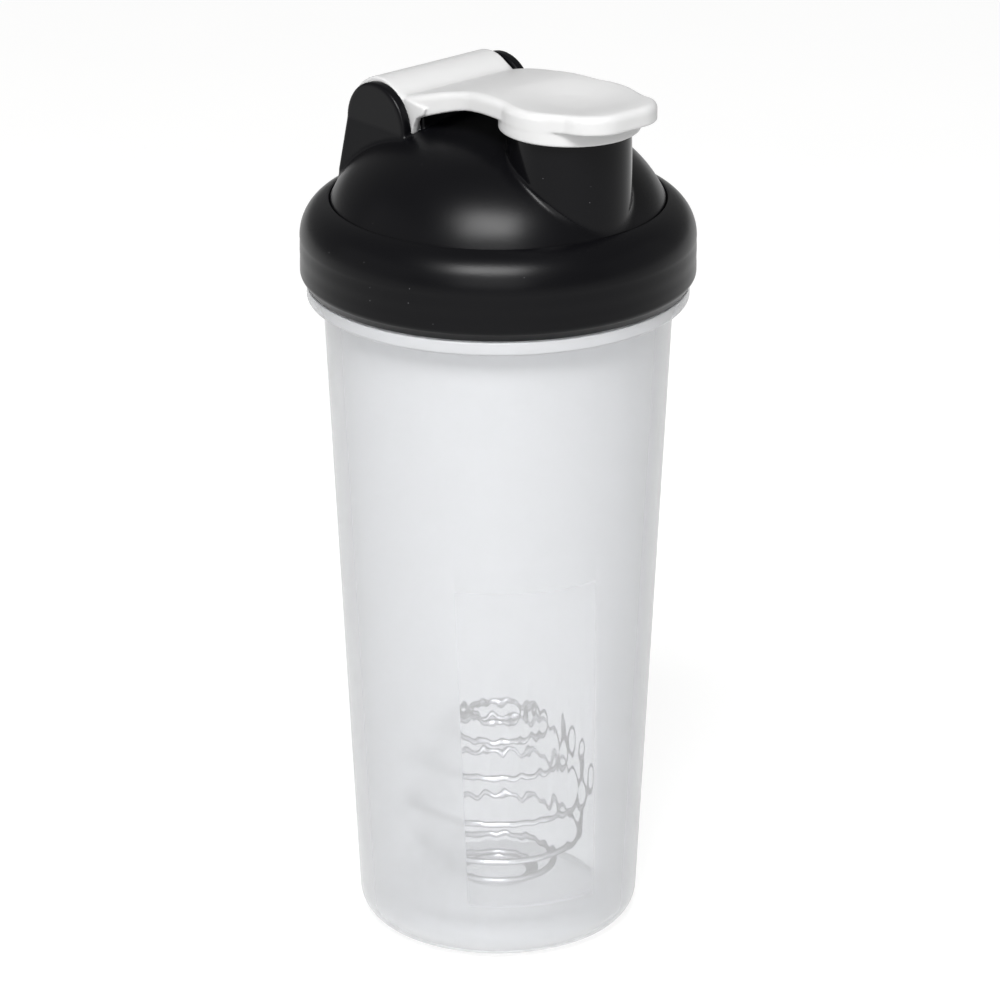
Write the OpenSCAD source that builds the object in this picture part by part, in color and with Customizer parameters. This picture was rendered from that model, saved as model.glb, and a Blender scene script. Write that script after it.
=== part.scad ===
// Protein shaker bottle: a tapered frosted cup, a screw lid with a drinking
// spout, a flip cap on two ears, and a loose whisk ball of one bent wire.
// +Z is up, the origin is the centre of the foot ring, the spout points to -Y
// and the hinge stands at +Y.

/* [Cup] */
// Height of the drinking rim above the table
cup_h = 182.4; // [150:0.2:225]
// Outside radius where the wall meets the base corner
base_r = 34.7; // [28:0.1:36]
// Outside radius of the neck, which the lid screws on to
neck_r = 42.5; // [38:0.1:51]
// Wall thickness of the cup
cup_wall = 1.9; // [1.4:0.1:2.6]
// Height from the collar to the rim
neck_h = 15.6; // [14:0.1:20]
// Radius between the wall and the base
corner_r = 7; // [4:0.5:9]
// Depth of the push-up under the base
push_up = 5.2; // [2:0.2:7]
// Outside radius of the foot ring
foot_r = 29; // [24:0.5:30]
// Width of the foot ring
foot_w = 3.2; // [2:0.2:5]

/* [Thread] */
// Number of thread starts
starts = 2; // [1:1:3]
// Rise of one thread in one turn
lead = 12; // [8:0.5:14]
// How far the threads stand out
thread_h = 1.8; // [1.2:0.1:2.4]
// Turn that each thread covers, in degrees
thread_arc = 170; // [90:5:175]

/* [Lid] */
// Wall thickness of the lid's skirt
lid_wall = 3.4; // [2.4:0.1:4.2]
// Wall thickness of the lid's dome
dome_wall = 2.2; // [1.6:0.1:3]
// Height of the dome above the crease
dome_h = 21; // [18:0.5:26]
// Depth of the plug ring that goes into the neck
plug_h = 8; // [5:0.5:9]
// Thickness of the seal
seal_t = 2; // [1:0.1:3]

/* [Spout] */
// Distance of the spout's axis in from the dome's crease
spout_in = 15.3; // [14.8:0.1:18.8]
// Outside radius of the spout
spout_r = 14.9; // [12:0.1:15]
// Wall thickness of the spout
spout_wall = 1.9; // [1.4:0.1:2.4]
// Height of the spout above the crease
spout_h = 29.5; // [26:0.1:36]

/* [Flip cap] */
// Distance of the hinge in from the dome's crease
hinge_in = 18; // [14.8:0.1:20.8]
// Height of the hinge above the crease
hinge_h = 18.7; // [16.5:0.1:21.5]
// Radius of the hinge barrel
barrel_r = 10.1; // [8:0.1:11]
// Half of the barrel's length
barrel_half = 18; // [14:0.1:20]
// Thickness of each ear
ear_t = 2.7; // [2.2:0.1:3.4]
// Radius of each hinge pin
pin_r = 3; // [2:0.1:4]
// Wall thickness of the cap
cap_wall = 1.8; // [1.2:0.1:2.2]
// Half of the width at the cap's waist
waist_half = 14.6; // [12:0.1:17]
// How far the thumb tab reaches past the skirt
tab_out = 5; // [3:0.1:8]
// Half of the width of the thumb tab
tab_half = 13; // [10:0.1:14]
// Depth of the round dish on top
dish_d = 1.3; // [0.5:0.1:1.5]

/* [Whisk ball] */
// Outside radius of the ball
ball_r = 23.7; // [18:0.1:27]
// Thickness of the wire
wire_d = 1.6; // [1.2:0.1:2.4]

/* [Fits] */
// Radial gap between the thread crests and the wall they face
thread_gap = 0.35; // [0.25:0.05:0.6]
// Radial gap between the plug ring and the neck
plug_gap = 0.35; // [0.25:0.05:0.6]
// Gap between the collar and the lid's lower edge
collar_gap = 0.5; // [0.3:0.1:1]
// Running clearance of the hinge pins
pin_gap = 0.08; // [0.04:0.01:0.1]
// Gap at each end of the barrel
ear_gap = 0.35; // [0.25:0.05:0.6]
// Gap between the barrel and its pocket in the dome
pocket_gap = 2; // [1.8:0.1:2.6]
// Radial gap between the spout and the cap's skirt
skirt_gap = 1.1; // [0.8:0.05:1.4]
// Gap between the spout's lip and the underside of the cap
lip_gap = 0.25; // [0.2:0.05:0.5]
// Radial gap between the stopper and the spout's bore
stopper_gap = 0.12; // [0.1:0.02:0.3]

/* [Hidden] */
$fn = 96;

// cup
collar_z = cup_h - neck_h;
collar_drop = 4;
collar_lip = 1.2;
collar_round = 0.8;
wall_lean = atan2(neck_r - base_r, collar_z - collar_drop - corner_r);
foot_in = foot_r - foot_w;
foot_bend = 3;
foot_edge = 0.4;
floor_z = push_up + cup_wall + 0.2;
rim_round = 0.6;
bore_top_r = neck_r - cup_wall;

// thread
thread_steps = 34;
thread_foot = 3.6;
thread_crest = 1.6;
thread_bury = 0.5;
thread_base_z = collar_z + 2.9;
lid_thread_up = 4.6;
lid_thread_turn = 15;

// lid
lid_bore_r = neck_r + thread_h + thread_gap;
lid_r = lid_bore_r + lid_wall;
collar_r = lid_r - 1.6;
lid_edge = 1.8;
lid_low_z = collar_z + collar_gap;
land_z = cup_h + seal_t;
crease_z = land_z + 3.1;
crease_r = lid_r - 7.25;
shoulder_r = 10;
shoulder_z = crease_z - 8.7;
plug_r = bore_top_r - plug_gap;
plug_wall = 1.8;
crown_drop = 4.7;
crown_r = crease_r * 0.59;
knee_a = 2 * atan(crown_drop / crown_r);
dome_top = crease_z + dome_h;
spout_y = crease_r - spout_in;
spout_draft = 0.15;
spout_top = crease_z + spout_h;
hinge_y = crease_r - hinge_in;
hinge_z = crease_z + hinge_h;
pocket_r = barrel_r + pocket_gap;
pocket_half = barrel_half + ear_gap;
ear_r = barrel_r + 0.5;
ear_y = hinge_y - 1.75;
ear_z = hinge_z - 1;
ear_lean = 0.8;
ear_front = 3;
ear_foot_out = 2.4;
socket_d = ear_t - 1;
lip_up = barrel_r - 5.1;
lip_half = barrel_half - 2.4;

// flip cap
skirt_r = spout_r + skirt_gap + cap_wall / 2;
skirt_low_z = spout_top - 5.4;
cap_seat_z = spout_top + lip_gap;
plate_z = cap_seat_z + cap_wall;
valley_z = hinge_z + barrel_r - 2.7;
wide_y = hinge_y - barrel_r + 1.1;
cap_back_y = hinge_y - barrel_r / 2;
waist_y = -6;
tab_round = 9;
cap_rows = 22;
plan_rows = 12;
tab_rise = 1.2;
tab_low = 4.6;
saddle_low = 1.3;
tip_y = -(spout_y + skirt_r + tab_out);
pin_len = socket_d - 0.2;
boss_r = spout_r - spout_wall - 2.6;
boss_low_z = spout_top - 3.2;
dish_r = 12.4;
prong_w = 2.2;
end_wall = 2;

// stopper
stopper_r = spout_r - spout_wall - stopper_gap;
stopper_low_z = boss_low_z - 0.4;
stopper_taper = 1.25;

// whisk ball
coil_r = ball_r - wire_d / 2;
ball_gap = 0.3;
ball_z = floor_z + ball_gap + ball_r;
ring_angles = [20, 24, 38, 64, 93, 122, 146, 162, 165];
coil_steps = 24;
wire_sides = 8;
jog_share = 0.3;
jog_end_a = 168;

// points along an arc, angles in degrees
function arc(cx, cy, r, a0, a1, n) =
    [for (i = [0:n]) let (a = a0 + (a1 - a0) * i / n) [cx + r * cos(a), cy + r * sin(a)]];

function smooth(t) = let (u = min(max(t, 0), 1)) u * u * (3 - 2 * u);
function mix(a, b, t) = a + (b - a) * t;

// a closed polygon of the rows of a helical thread, swept along its turn
module thread(root_r, crest_r, z0, a0) {
    side = crest_r > root_r ? 1 : -1;
    rows = [for (i = [0:thread_steps]) let (
            t = i / thread_steps,
            a = a0 + thread_arc * t,
            z = z0 + lead * thread_arc / 360 * t,
            fade = smooth(t * 9) * smooth((1 - t) * 9),
            r_in = root_r - side * thread_bury,
            r_out = mix(root_r - side * thread_bury * 0.4, crest_r, fade),
            half_in = thread_foot / 2,
            half_out = mix(thread_foot / 2 - 0.4, thread_crest / 2, fade))
        [for (p = [[r_in, -half_in], [r_out, -half_out], [r_out, half_out], [r_in, half_in]])
            [p[0] * cos(a), p[0] * sin(a), z + p[1]]]];
    sweep(rows, side < 0);
}

// a solid through closed rows of points, with flat ends
module sweep(rows, flip) {
    n = len(rows[0]);
    last = len(rows) - 1;
    function quad(i, j) = [i * n + j, i * n + (j + 1) % n, (i + 1) * n + (j + 1) % n, (i + 1) * n + j];
    function tri(q) = [[q[0], q[1], q[2]], [q[0], q[2], q[3]]];
    sides = [for (i = [0:last - 1]) for (j = [0:n - 1]) each tri(quad(i, j))];
    ends = concat([for (j = [1:n - 2]) [0, j + 1, j]],
                  [for (j = [1:n - 2]) [last * n, last * n + j, last * n + j + 1]]);
    faces = concat(sides, ends);
    polyhedron([for (row = rows) each row],
               flip ? [for (f = faces) [f[2], f[1], f[0]]] : faces);
}

// outer outline of the cup, from the foot to the rim
function cup_outside() = concat(
    [[0, push_up], [foot_in - foot_bend, push_up]],
    arc(foot_in - foot_bend, push_up - foot_bend, foot_bend, 90, 20, 4),
    [[foot_in, foot_edge], [foot_in + foot_edge, 0], [foot_r, 0]],
    arc(base_r - corner_r, corner_r, corner_r, -75, -wall_lean, 9),
    arc(neck_r + collar_lip, collar_z - collar_drop - collar_lip / 2, collar_lip, 180, 90, 3),
    arc(collar_r - collar_round, collar_z - collar_drop + collar_lip / 2 + collar_round, collar_round,
        -90, 0, 3),
    [[collar_r, collar_z], [neck_r, collar_z]],
    [[neck_r, cup_h - rim_round]],
    [[neck_r - rim_round, cup_h], [0, cup_h]]);

function cup_inside() = concat(
    [[0, floor_z], [foot_in - foot_bend, floor_z]],
    arc(foot_in - foot_bend, floor_z - foot_bend - 0.4, foot_bend + 0.4, 70, 20, 3),
    [[foot_in + 2, cup_wall + 0.4]],
    arc(base_r - corner_r, corner_r, corner_r - cup_wall, -82, -wall_lean, 8),
    [[bore_top_r, collar_z - collar_drop], [bore_top_r, cup_h + 1], [0, cup_h + 1]]);

module cup() {
    color("gainsboro")
    union() {
        difference() {
            rotate_extrude() polygon(cup_outside());
            rotate_extrude() polygon(cup_inside());
        }
        for (s = [0:starts - 1])
            thread(neck_r, neck_r + thread_h, thread_base_z, s * 360 / starts);
    }
}

// outline of the dome, offset inwards by a wall
function dome(wall) = let (
        crown = (crown_r * crown_r + crown_drop * crown_drop) / (2 * crown_drop),
        fall = dome_h - crown_drop,
        run = crease_r - crown_r,
        chord = sqrt(fall * fall + run * run),
        half_turn = atan2(fall, run) - knee_a,
        side = chord / (2 * sin(half_turn)),
        cx = crown_r - side * sin(knee_a),
        cy = dome_top - crown_drop - side * cos(knee_a))
    concat(
        arc(cx, cy, side - wall, 90 - knee_a - 2 * half_turn, 90 - knee_a, 14),
        arc(0, dome_top - crown, crown - wall, 90 - knee_a, 90, 6));

function lid_outside() = concat(
    [[0, lid_low_z], [lid_r - lid_edge + 0.2, lid_low_z]],
    arc(lid_r - lid_edge, lid_low_z + lid_edge + 1.2, lid_edge, -50, 0, 3),
    arc(lid_r - shoulder_r, shoulder_z, shoulder_r, 0, 73, 10),
    dome(0));

function lid_inside() = concat(
    [[0, lid_low_z - 1], [lid_bore_r, lid_low_z - 1], [lid_bore_r, land_z], [plug_r, land_z],
     [plug_r, cup_h - plug_h + 0.6], [plug_r - 0.6, cup_h - plug_h], [plug_r - plug_wall, cup_h - plug_h]],
    [for (p = dome(dome_wall)) if (p[0] < plug_r - plug_wall) p]);

// one ear on the +X side: a side outline cut to a front outline that widens at the foot
module ear() {
    foot_z = crease_z - 1;
    x_in = pocket_half;
    x_out = pocket_half + ear_t;
    intersection() {
        translate([x_in, 0, 0]) rotate([90, 0, 90]) linear_extrude(ear_t + ear_foot_out)
            union() {
                translate([ear_y, ear_z]) circle(r = ear_r);
                polygon([[ear_y - ear_r, ear_z], [ear_y - ear_r - ear_front, ear_z - 9],
                         [ear_y - ear_r - ear_front, foot_z],
                         [ear_y + ear_r + ear_lean, foot_z], [ear_y + ear_r, ear_z]]);
            }
        translate([0, hinge_y + 30, 0]) rotate([90, 0, 0]) linear_extrude(60)
            polygon([[x_in, foot_z], [x_out + ear_foot_out, foot_z], [x_out + ear_foot_out, foot_z + 6],
                     [x_out, ear_z], [x_out, ear_z + ear_r + 1], [x_in, ear_z + ear_r + 1]]);
    }
}

// cylinder along X between -half and +half on the hinge axis
module hinge_rod(r, half) {
    translate([-half, hinge_y, hinge_z]) rotate([0, 90, 0]) cylinder(r = r, h = 2 * half);
}

// the pocket's front wall stands above the dome, between the cap's prongs
module pocket_lip() {
    intersection() {
        hinge_rod(pocket_r + 1.4, lip_half);
        translate([-lip_half, hinge_y - pocket_r - 3, dome_top - 3.4])
            cube([2 * lip_half, 6, hinge_z + lip_up - dome_top + 3.4]);
    }
}

module lid() {
    color("#1c1b1d")
    difference() {
        union() {
            difference() {
                union() {
                    rotate_extrude() polygon(lid_outside());
                    translate([0, -spout_y, crease_z - 1])
                        cylinder(r1 = spout_r + spout_draft, r2 = spout_r - spout_draft, h = spout_h + 1);
                    for (side = [0, 1]) mirror([side, 0, 0]) ear();
                }
                rotate_extrude() polygon(lid_inside());
            }
            intersection() {
                hinge_rod(pocket_r + dome_wall, pocket_half + ear_t);
                rotate_extrude() polygon(concat([[0, land_z]], [[crease_r - 1, land_z]], dome(0.01)));
            }
            for (s = [0:starts - 1])
                thread(lid_bore_r, lid_bore_r - thread_h, thread_base_z + lid_thread_up,
                       s * 360 / starts + lid_thread_turn);
            pocket_lip();
        }
        hinge_rod(pocket_r, pocket_half);
        hinge_rod(pin_r + pin_gap, pocket_half + socket_d);
        translate([0, -spout_y, crease_z - 1.5]) cylinder(r = spout_r - spout_wall, h = spout_h + 5);
    }
}

module lid_seal() {
    color("#d8d8d4")
    difference() {
        translate([0, 0, cup_h]) cylinder(r = lid_bore_r - 0.35, h = seal_t);
        translate([0, 0, cup_h - 1]) cylinder(r = plug_r + 0.3, h = seal_t + 2);
    }
}

// top of the flip cap's plate at a distance y along the bottle's Y axis
function cap_top(y) =
    mix(valley_z, plate_z, sin(90 * min(max((wide_y - y) / (wide_y + spout_y - 10), 0), 1)))
    + tab_rise * smooth((-y - spout_y) / (tab_out + skirt_r));

// lower edge of the plate's side walls
function cap_low(y) = cap_top(y) - tab_low
    - saddle_low * smooth((y - waist_y) / (wide_y - waist_y));

module cap_side(inset) {
    ys = [for (i = [0:cap_rows]) mix(tip_y - 1, cap_back_y, i / cap_rows)];
    rotate([90, 0, 90]) translate([0, 0, -30]) linear_extrude(60)
        polygon(concat([for (y = ys) [y, cap_top(y) - inset]],
                       [for (i = [cap_rows:-1:0]) [ys[i], cap_low(ys[i]) - (inset > 0 ? 3 : 0)]]));
}

module cap_plan(inset) {
    join_x = skirt_r - inset - 1.2;
    function half(y) = mix(waist_half, barrel_half, smooth((y - waist_y) / (wide_y - waist_y))) - inset;
    ys = [for (i = [0:plan_rows]) mix(waist_y, cap_back_y - inset, i / plan_rows)];
    translate([0, 0, hinge_z - 20]) linear_extrude(60)
        union() {
            translate([0, -spout_y]) circle(r = skirt_r - inset);
            polygon(concat([for (y = ys) [half(y), y]],
                           [for (i = [plan_rows:-1:0]) [-half(ys[i]), ys[i]]]));
            polygon([[waist_half - inset, waist_y + 0.1], [-waist_half + inset, waist_y + 0.1],
                     [-join_x, -spout_y + 6], [join_x, -spout_y + 6]]);
            for (x = [-1, 1])
                translate([x * (tab_half - tab_round), tip_y + tab_round]) circle(r = tab_round - inset);
            polygon([[-tab_half + tab_round, tip_y + inset], [tab_half - tab_round, tip_y + inset],
                     [tab_half - inset, tip_y + tab_round], [join_x, -spout_y - 5],
                     [-join_x, -spout_y - 5], [-tab_half + inset, tip_y + tab_round]]);
        }
}

module cap_barrel() {
    difference() {
        hinge_rod(barrel_r, barrel_half);
        hinge_rod(barrel_r - cap_wall, barrel_half - end_wall);
        translate([-barrel_half + end_wall, hinge_y - barrel_r - 3, hinge_z - barrel_r - 1])
            cube([2 * (barrel_half - end_wall), 2 * barrel_r + 6, barrel_r - 1]);
    }
}

// short prong under each front corner of the barrel
module cap_prong() {
    back_y = hinge_y - barrel_r + 0.7;
    rotate([90, 0, 90]) linear_extrude(end_wall)
        polygon([[back_y, hinge_z - 1.8], [back_y - prong_w, hinge_z - 1.8],
                 [back_y - 0.7 - prong_w, hinge_z + 0.7], [back_y - 1.8 - prong_w, hinge_z + 2.8],
                 [back_y - 4.3 - prong_w, hinge_z + 4.2], [back_y - 5 - prong_w, valley_z - 1.4],
                 [back_y, valley_z - 0.4]]);
}

module flip_cap() {
    dish_sphere = (dish_r * dish_r + dish_d * dish_d) / (2 * dish_d);
    color("white")
    difference() {
        union() {
            difference() {
                intersection() { cap_side(0); cap_plan(0); }
                intersection() { cap_side(cap_wall); cap_plan(cap_wall); }
                translate([0, -spout_y, skirt_low_z - 1])
                    cylinder(r = skirt_r - cap_wall, h = cap_seat_z - skirt_low_z + 1);
                hinge_rod(barrel_r - cap_wall, barrel_half + 1);
            }
            intersection() {
                translate([0, -spout_y, skirt_low_z]) difference() {
                    cylinder(r = skirt_r, h = 12);
                    translate([0, 0, -1]) cylinder(r = skirt_r - cap_wall / 2, h = 14);
                }
                cap_fill();
            }
            intersection() {
                translate([0, -spout_y, boss_low_z]) union() {
                    cylinder(r = boss_r, h = 12);
                    translate([0, 0, cap_seat_z - boss_low_z]) cylinder(r = skirt_r - 0.4, h = 12);
                }
                cap_fill();
            }
            cap_barrel();
            for (x = [-barrel_half, barrel_half - end_wall]) translate([x, 0, 0]) cap_prong();
            hinge_rod(pin_r, pocket_half + pin_len);
        }
        hinge_rod(barrel_r - cap_wall, barrel_half - end_wall);
        translate([0, -spout_y, plate_z + dish_sphere - dish_d]) sphere(r = dish_sphere, $fn = 192);
        translate([0, -spout_y, boss_low_z - 1]) cylinder(r = boss_r - cap_wall, h = 2.4);
    }
}

// everything under the cap's top surface and inside its plan
module cap_fill() {
    intersection() { cap_side(0); cap_plan(0); }
    translate([0, -spout_y, skirt_low_z - 5]) cylinder(r = skirt_r, h = plate_z - skirt_low_z + 3.4);
}

module spout_stopper() {
    color("#e6e6e2")
    translate([0, -spout_y, 0]) rotate_extrude()
        polygon([[boss_r, stopper_low_z + 0.4], [boss_r + 0.6, stopper_low_z],
                 [stopper_r - stopper_taper - 0.4, stopper_low_z],
                 [stopper_r - stopper_taper, stopper_low_z + 0.5],
                 [stopper_r, spout_top - 0.6], [stopper_r - 0.4, cap_seat_z],
                 [boss_r, cap_seat_z]]);
}

// polar angle of the wire after some turns: flat rings joined by short jogs
function ring_angle(turn) = let (
        i = min(floor(turn), len(ring_angles) - 2),
        t = turn - i)
    mix(ring_angles[i], ring_angles[i + 1], smooth((t - 1 + jog_share) / jog_share));

function wire_point(turn) = let (p = ring_angle(turn), a = 360 * turn + jog_end_a)
    [coil_r * sin(p) * cos(a), coil_r * sin(p) * sin(a), -coil_r * cos(p)];

function unit(v) = v / norm(v);

module whisk_ball() {
    turns = len(ring_angles) - 1;
    total = turns * coil_steps;
    rows = [for (i = [0:total]) let (
            u = i / coil_steps,
            c = wire_point(u),
            ahead = unit(wire_point(min(u + 0.01, turns)) - wire_point(max(u - 0.01, 0))),
            out = unit(c),
            across = unit(cross(ahead, out)))
        [for (k = [0:wire_sides - 1]) let (a = 360 * k / wire_sides)
            c + wire_d / 2 * (cos(a) * out + sin(a) * across)]];
    color("silver") translate([0, 0, ball_z]) sweep(rows, true);
}

cup();
lid();
lid_seal();
flip_cap();
spout_stopper();
whisk_ball();
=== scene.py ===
from math import atan, atan2, cos, degrees, pi, radians, sin, sqrt
import bpy
import numpy as np
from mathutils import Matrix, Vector


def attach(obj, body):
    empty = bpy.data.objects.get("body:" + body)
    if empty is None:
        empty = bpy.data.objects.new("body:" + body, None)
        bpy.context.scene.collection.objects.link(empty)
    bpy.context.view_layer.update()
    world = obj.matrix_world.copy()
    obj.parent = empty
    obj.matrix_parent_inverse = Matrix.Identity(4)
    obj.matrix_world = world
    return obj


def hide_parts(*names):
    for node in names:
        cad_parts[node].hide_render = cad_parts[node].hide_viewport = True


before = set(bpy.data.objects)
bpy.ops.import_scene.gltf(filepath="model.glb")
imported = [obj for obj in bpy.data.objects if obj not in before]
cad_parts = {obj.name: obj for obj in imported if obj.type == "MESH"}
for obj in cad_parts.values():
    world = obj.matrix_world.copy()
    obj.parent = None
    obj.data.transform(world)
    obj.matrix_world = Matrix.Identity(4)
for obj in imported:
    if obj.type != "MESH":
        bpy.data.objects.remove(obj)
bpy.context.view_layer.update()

mm = 0.001      # every size below is in millimetres, every Blender object in metres


# colours, nodes and meshes

def colour(code):
    parts = [int(code[i:i + 2], 16) / 255 for i in (1, 3, 5)]
    return [c / 12.92 if c <= 0.04045 else ((c + 0.055) / 1.055) ** 2.4 for c in parts] + [1]


def addNode(tree, kind, settings=(), links=()):
    node = tree.nodes.new(kind)
    for name, value in dict(settings).items():
        if isinstance(name, int) or name in node.inputs:
            node.inputs[name].default_value = value
        else:
            setattr(node, name, value)
    for name, socket in dict(links).items():
        tree.links.new(socket, node.inputs[name])
    return node


def newMaterial(name, settings):
    material = bpy.data.materials.new(name)
    material.use_nodes = True
    tree = material.node_tree
    shader = tree.nodes["Principled BSDF"]
    for key, value in settings.items():
        shader.inputs[key].default_value = value
    place = addNode(tree, "ShaderNodeTexCoord").outputs["Object"]
    return material, tree, shader, place


def perMetre(size):
    return 1 / (size * mm)     # a texture scale that repeats about once in that many millimetres


def newPiece(name, points, faces, materials, sharpAngle=40):
    mesh = bpy.data.meshes.new(name)
    mesh.from_pydata((np.asarray(points) * mm).tolist(), [], faces)
    mesh.update()
    mesh.shade_smooth()
    if sharpAngle:
        mesh.set_sharp_from_angle(angle=radians(sharpAngle))
    for material in materials:
        mesh.materials.append(material)
    piece = bpy.data.objects.new(name, mesh)
    bpy.context.scene.collection.objects.link(piece)
    return piece


def arcPoints(cx, cy, r, start, end, count):
    turns = np.radians(np.linspace(start, end, count + 1))
    return [(cx + r * cos(a), cy + r * sin(a)) for a in turns]


def smooth(t):
    t = np.clip(t, 0, 1)
    return t * t * (3 - 2 * t)


def mix(a, b, t):
    return a + (b - a) * t


# a profile of (r, z) turned about Z; ends that lie on the axis close to a point, and bend
# moves the rows from bendFrom on in or out
def turned(profile, angles, closed=False, bend=None, bendFrom=0):
    points, rows, faces = [], [], []
    for place, (r, z) in enumerate(profile):
        if r < 1e-6:
            rows.append([len(points)])
            points.append((0, 0, z))
            continue
        radii = r + (bend(r, z, angles) if bend and place >= bendFrom else 0 * angles)
        rows.append(list(range(len(points), len(points) + len(angles))))
        points += list(zip(radii * np.cos(angles), radii * np.sin(angles), np.full(len(angles), z)))
    pairs = list(zip(rows, rows[1:] + rows[:1])) if closed else list(zip(rows, rows[1:]))
    count = len(angles)
    for a, b in pairs:
        for j in range(count):
            k = (j + 1) % count
            if len(a) == 1:
                faces.append((a[0], b[k], b[j]))
            elif len(b) == 1:
                faces.append((a[j], a[k], b[0]))
            else:
                faces.append((a[j], a[k], b[k], b[j]))
    return points, faces


def evenAngles(count):
    return np.arange(count) * 2 * pi / count


# closed rows of points joined into a tube with flat ends
def swept(rows, start=0, flip=False):
    width = len(rows[0])
    faces = []
    for i in range(len(rows) - 1):
        for j in range(width):
            k = (j + 1) % width
            faces.append((i * width + j, (i + 1) * width + j, (i + 1) * width + k, i * width + k))
    last = (len(rows) - 1) * width
    faces += [tuple(range(width)), tuple(last + j for j in reversed(range(width)))]
    faces = [tuple(start + i for i in (reversed(face) if flip else face)) for face in faces]
    return [tuple(p) for row in rows for p in row], faces


# solids as distance fields, meshed on their own surface

# signed distance to a closed outline, read from a fine table
def outlineField(outline, cell=0.1, margin=5.0):
    outline = np.array(outline, float)
    low, high = outline.min(0) - margin, outline.max(0) + margin
    size = np.ceil((high - low) / cell).astype(int) + 1
    u, v = np.meshgrid(*(low[k] + cell * np.arange(size[k]) for k in (0, 1)), indexing="ij")
    nearest, inside = np.full(u.shape, 1e9), np.zeros(u.shape, bool)
    for a, b in zip(outline, np.roll(outline, -1, 0)):
        edge = b - a
        t = np.clip(((u - a[0]) * edge[0] + (v - a[1]) * edge[1]) / max(edge @ edge, 1e-12), 0, 1)
        nearest = np.minimum(nearest, (u - a[0] - t * edge[0]) ** 2 + (v - a[1] - t * edge[1]) ** 2)
        if a[1] != b[1]:
            inside ^= ((a[1] > v) != (b[1] > v)) & (u < a[0] + (v - a[1]) * edge[0] / edge[1])
    table = np.sqrt(nearest) * np.where(inside, -1, 1)

    def read(p, q):
        i = np.clip((p - low[0]) / cell, 0, size[0] - 1.001)
        j = np.clip((q - low[1]) / cell, 0, size[1] - 1.001)
        i0, j0 = i.astype(int), j.astype(int)
        s, t = i - i0, j - j0
        return ((table[i0, j0] * (1 - s) + table[i0 + 1, j0] * s) * (1 - t)
                + (table[i0, j0 + 1] * (1 - s) + table[i0 + 1, j0 + 1] * s) * t)
    return read


# union and intersection with a rounding of about that radius
def join(a, b, round=0.0):
    if round == 0:
        return np.minimum(a, b)
    near = np.maximum(round - np.abs(a - b), 0)
    return np.minimum(a, b) - near * near / (4 * round)


def keep(a, b, round=0.0):
    return -join(-a, -b, round)


def rod(x, y, z, centre, r, half, round=0.3):
    return keep(np.hypot(y - centre[0], z - centre[1]) - r, np.abs(x) - half, round)


def post(x, y, z, centreY, r, low, high, round=0.3):
    return keep(np.hypot(x, y - centreY) - r, np.maximum(low - z, z - high), round)


# quads through the cells that a field's zero crosses, moved on to the zero itself
def fieldMesh(field, low, high, cell):
    axes = [np.arange(a, b + cell, cell) for a, b in zip(low, high)]
    values = field(*np.meshgrid(*axes, indexing="ij"))
    inside = values < 0
    size = np.array(values.shape) - 1
    total, count = np.zeros((*size, 3), np.float32), np.zeros(size, np.int16)
    crossings = []
    for d in range(3):
        a = np.take(values, range(size[d]), d)
        b = np.take(values, range(1, size[d] + 1), d)
        cross = (a < 0) != (b < 0)
        t = np.where(cross, a / np.where(cross, a - b, 1), 0)
        others = [k for k in range(3) if k != d]
        for shift in ((0, 0), (0, 1), (1, 0), (1, 1)):
            cut = [slice(None)] * 3
            for k, s in zip(others, shift):
                cut[k] = slice(s, s + size[k])
            hit = cross[tuple(cut)]
            count += hit
            total[..., d] += np.where(hit, t[tuple(cut)], 0)
            for k, s in zip(others, shift):
                total[..., k] += hit * s
        crossings.append(cross)
    used = count > 0
    index = np.full(size, -1)
    index[used] = np.arange(used.sum())
    origin = np.array([axis[0] for axis in axes])
    points = origin + cell * (np.argwhere(used) + total[used] / count[used][:, None])
    faces = []
    for d in range(3):
        e, f = (d + 1) % 3, (d + 2) % 3
        hits = np.argwhere(crossings[d])
        hits = hits[(hits[:, e] > 0) & (hits[:, e] < size[e]) & (hits[:, f] > 0) & (hits[:, f] < size[f])]
        corners = []
        for se, sf in ((1, 1), (0, 1), (0, 0), (1, 0)):
            at = hits.copy()
            at[:, e] -= se
            at[:, f] -= sf
            corners.append(index[tuple(at.T)])
        quads = np.stack(corners, 1)
        outward = inside[tuple(hits.T)]
        faces.append(np.where(outward[:, None], quads, quads[:, ::-1]))
    reach = 0.05
    for _ in range(4):
        here = field(*points.T)
        slope = np.stack([(field(*(points + step).T) - field(*(points - step).T)) / (2 * reach)
                          for step in np.eye(3) * reach], 1)
        move = here / np.maximum((slope ** 2).sum(1), 0.25)
        points = points - np.clip(move, -cell / 3, cell / 3)[:, None] * slope
    return points, np.concatenate(faces).tolist()


# sizes that the pieces share, the same as in the part's source

base = {"cupH": 182.4, "neckR": 42.5, "baseR": 34.7, "cupWall": 1.9, "neckH": 15.6, "collarDrop": 4.0}
base["collarZ"] = base["cupH"] - base["neckH"]
base["boreR"] = base["neckR"] - base["cupWall"]
thread = {"starts": 2, "lead": 12.0, "out": 1.8, "arc": 170, "foot": 3.6, "crest": 1.6,
          "z": base["collarZ"] + 2.9, "gap": 0.35}
lidSize = {"wall": 3.4, "domeWall": 2.2, "domeH": 21.0, "sealT": 2.0, "plugH": 8.0, "plugWall": 1.8}
lidSize["boreR"] = base["neckR"] + thread["out"] + thread["gap"]
lidSize["r"] = lidSize["boreR"] + lidSize["wall"]
lidSize["lowZ"] = base["collarZ"] + 0.5
lidSize["landZ"] = base["cupH"] + lidSize["sealT"]
lidSize["creaseZ"] = lidSize["landZ"] + 3.1
lidSize["creaseR"] = lidSize["r"] - 7.25
lidSize["plugR"] = base["boreR"] - 0.35
lidSize["topZ"] = lidSize["creaseZ"] + lidSize["domeH"]
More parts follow.
